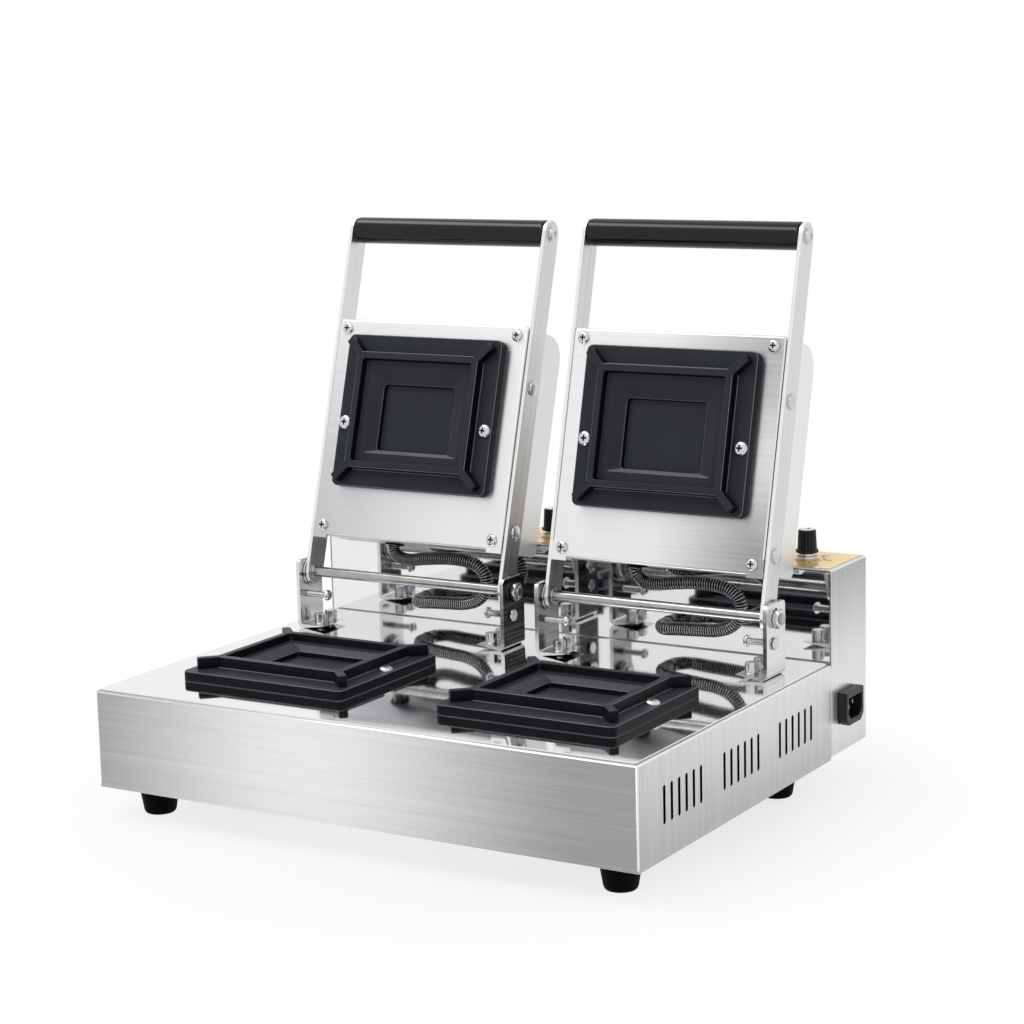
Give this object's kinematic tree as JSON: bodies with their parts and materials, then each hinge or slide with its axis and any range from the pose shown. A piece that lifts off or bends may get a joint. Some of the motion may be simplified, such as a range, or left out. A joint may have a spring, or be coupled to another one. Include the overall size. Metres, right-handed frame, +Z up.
{
  "type": "sandwich and waffle maker",
  "caption": "Double countertop sandwich and waffle maker: cast grills on a polished deck, lids that swing up on pivot rods, rear control box with dials.",
  "frame": {"origin": "middle of the bounding box in plan, on the plane that the feet stand on", "axes": "+X to the right as the user faces the machine, +Y to the rear (the control box), +Z up"},
  "size_m": [0.4472, 0.3552, 0.4113],
  "materials": {
    "brushed_steel": "fine brushed stainless steel",
    "mirror_steel": "mirror polished stainless steel",
    "plated_steel": "bright plated steel",
    "rubber": "matt black rubber",
    "black_plastic": "satin black plastic",
    "dial_label": "printed golden yellow film",
    "non_stick_casting": "cast aluminium with a satin black non-stick coating",
    "element_sheath": "dull steel tube sheath",
    "conduit_steel": "dull interlocked steel strip"
  },
  "bodies": {
    "base": {"base_shell": "brushed_steel", "polished_deck": "mirror_steel", "base_bottom_plate": "plated_steel", "front_left_foot": "rubber", "front_right_foot": "rubber", "rear_left_foot": "rubber", "rear_right_foot": "rubber", "control_box_shell": "brushed_steel", "control_front_panel": "mirror_steel", "control_back_plate": "brushed_steel", "power_inlet": "black_plastic", "terminal_block": "black_plastic", "left_dial_label": "dial_label", "left_dial_collar": "plated_steel", "left_thermostat": "black_plastic", "left_lower_grill": "non_stick_casting", "left_lower_heating_element": "element_sheath", "left_pivot_rod": "plated_steel", "left_head_left_bracket": "brushed_steel", "left_head_left_spacer": "plated_steel", "left_head_left_stop_screw": "plated_steel", "left_head_right_bracket": "brushed_steel", "left_head_right_spacer": "plated_steel", "left_head_right_stop_screw": "plated_steel", "left_hose": "conduit_steel", "left_hose_gland": "plated_steel", "right_dial_label": "dial_label", "right_dial_collar": "plated_steel", "right_thermostat": "black_plastic", "right_lower_grill": "non_stick_casting", "right_lower_heating_element": "element_sheath", "right_pivot_rod": "plated_steel", "right_head_left_bracket": "brushed_steel", "right_head_left_spacer": "plated_steel", "right_head_left_stop_screw": "plated_steel", "right_head_right_bracket": "brushed_steel", "right_head_right_spacer": "plated_steel", "right_head_right_stop_screw": "plated_steel", "right_hose": "conduit_steel", "right_hose_gland": "plated_steel"},
    "left_lid": {"left_lid_left_arm": "brushed_steel", "left_lid_right_arm": "brushed_steel", "left_lid_frame_plate": "brushed_steel", "left_lid_back_cover": "brushed_steel", "left_handle_grip": "black_plastic", "left_handle_rod": "plated_steel", "left_upper_grill": "non_stick_casting", "left_upper_heating_element": "element_sheath"},
    "right_lid": {"right_lid_left_arm": "brushed_steel", "right_lid_right_arm": "brushed_steel", "right_lid_frame_plate": "brushed_steel", "right_lid_back_cover": "brushed_steel", "right_handle_grip": "black_plastic", "right_handle_rod": "plated_steel", "right_upper_grill": "non_stick_casting", "right_upper_heating_element": "element_sheath"},
    "left_knob": {"left_dial_shaft": "plated_steel", "left_knob": "black_plastic"},
    "right_knob": {"right_dial_shaft": "plated_steel", "right_knob": "black_plastic"}
  },
  "joints": [
    {"name": "left_lid_hinge", "type": "hinge", "parent": "base", "child": "left_lid", "pos_m": [-0.11165, 0.06045, 0.1379], "axis": [1, 0, 0], "range_deg": [0, 106.5], "deforming": ["left_hose"]},
    {"name": "right_lid_hinge", "type": "hinge", "parent": "base", "child": "right_lid", "pos_m": [0.10435, 0.06045, 0.1379], "axis": [1, 0, 0], "range_deg": [0, 104.3], "deforming": ["right_hose"]},
    {"name": "left_dial_turn", "type": "hinge", "parent": "base", "child": "left_knob", "pos_m": [-0.03315, 0.14745, 0.1633], "axis": [0, 0, 1], "range_deg": [-300, 0]},
    {"name": "right_dial_turn", "type": "hinge", "parent": "base", "child": "right_knob", "pos_m": [0.18285, 0.14745, 0.1633], "axis": [0, 0, 1], "range_deg": [-300, 0]}
  ]
}
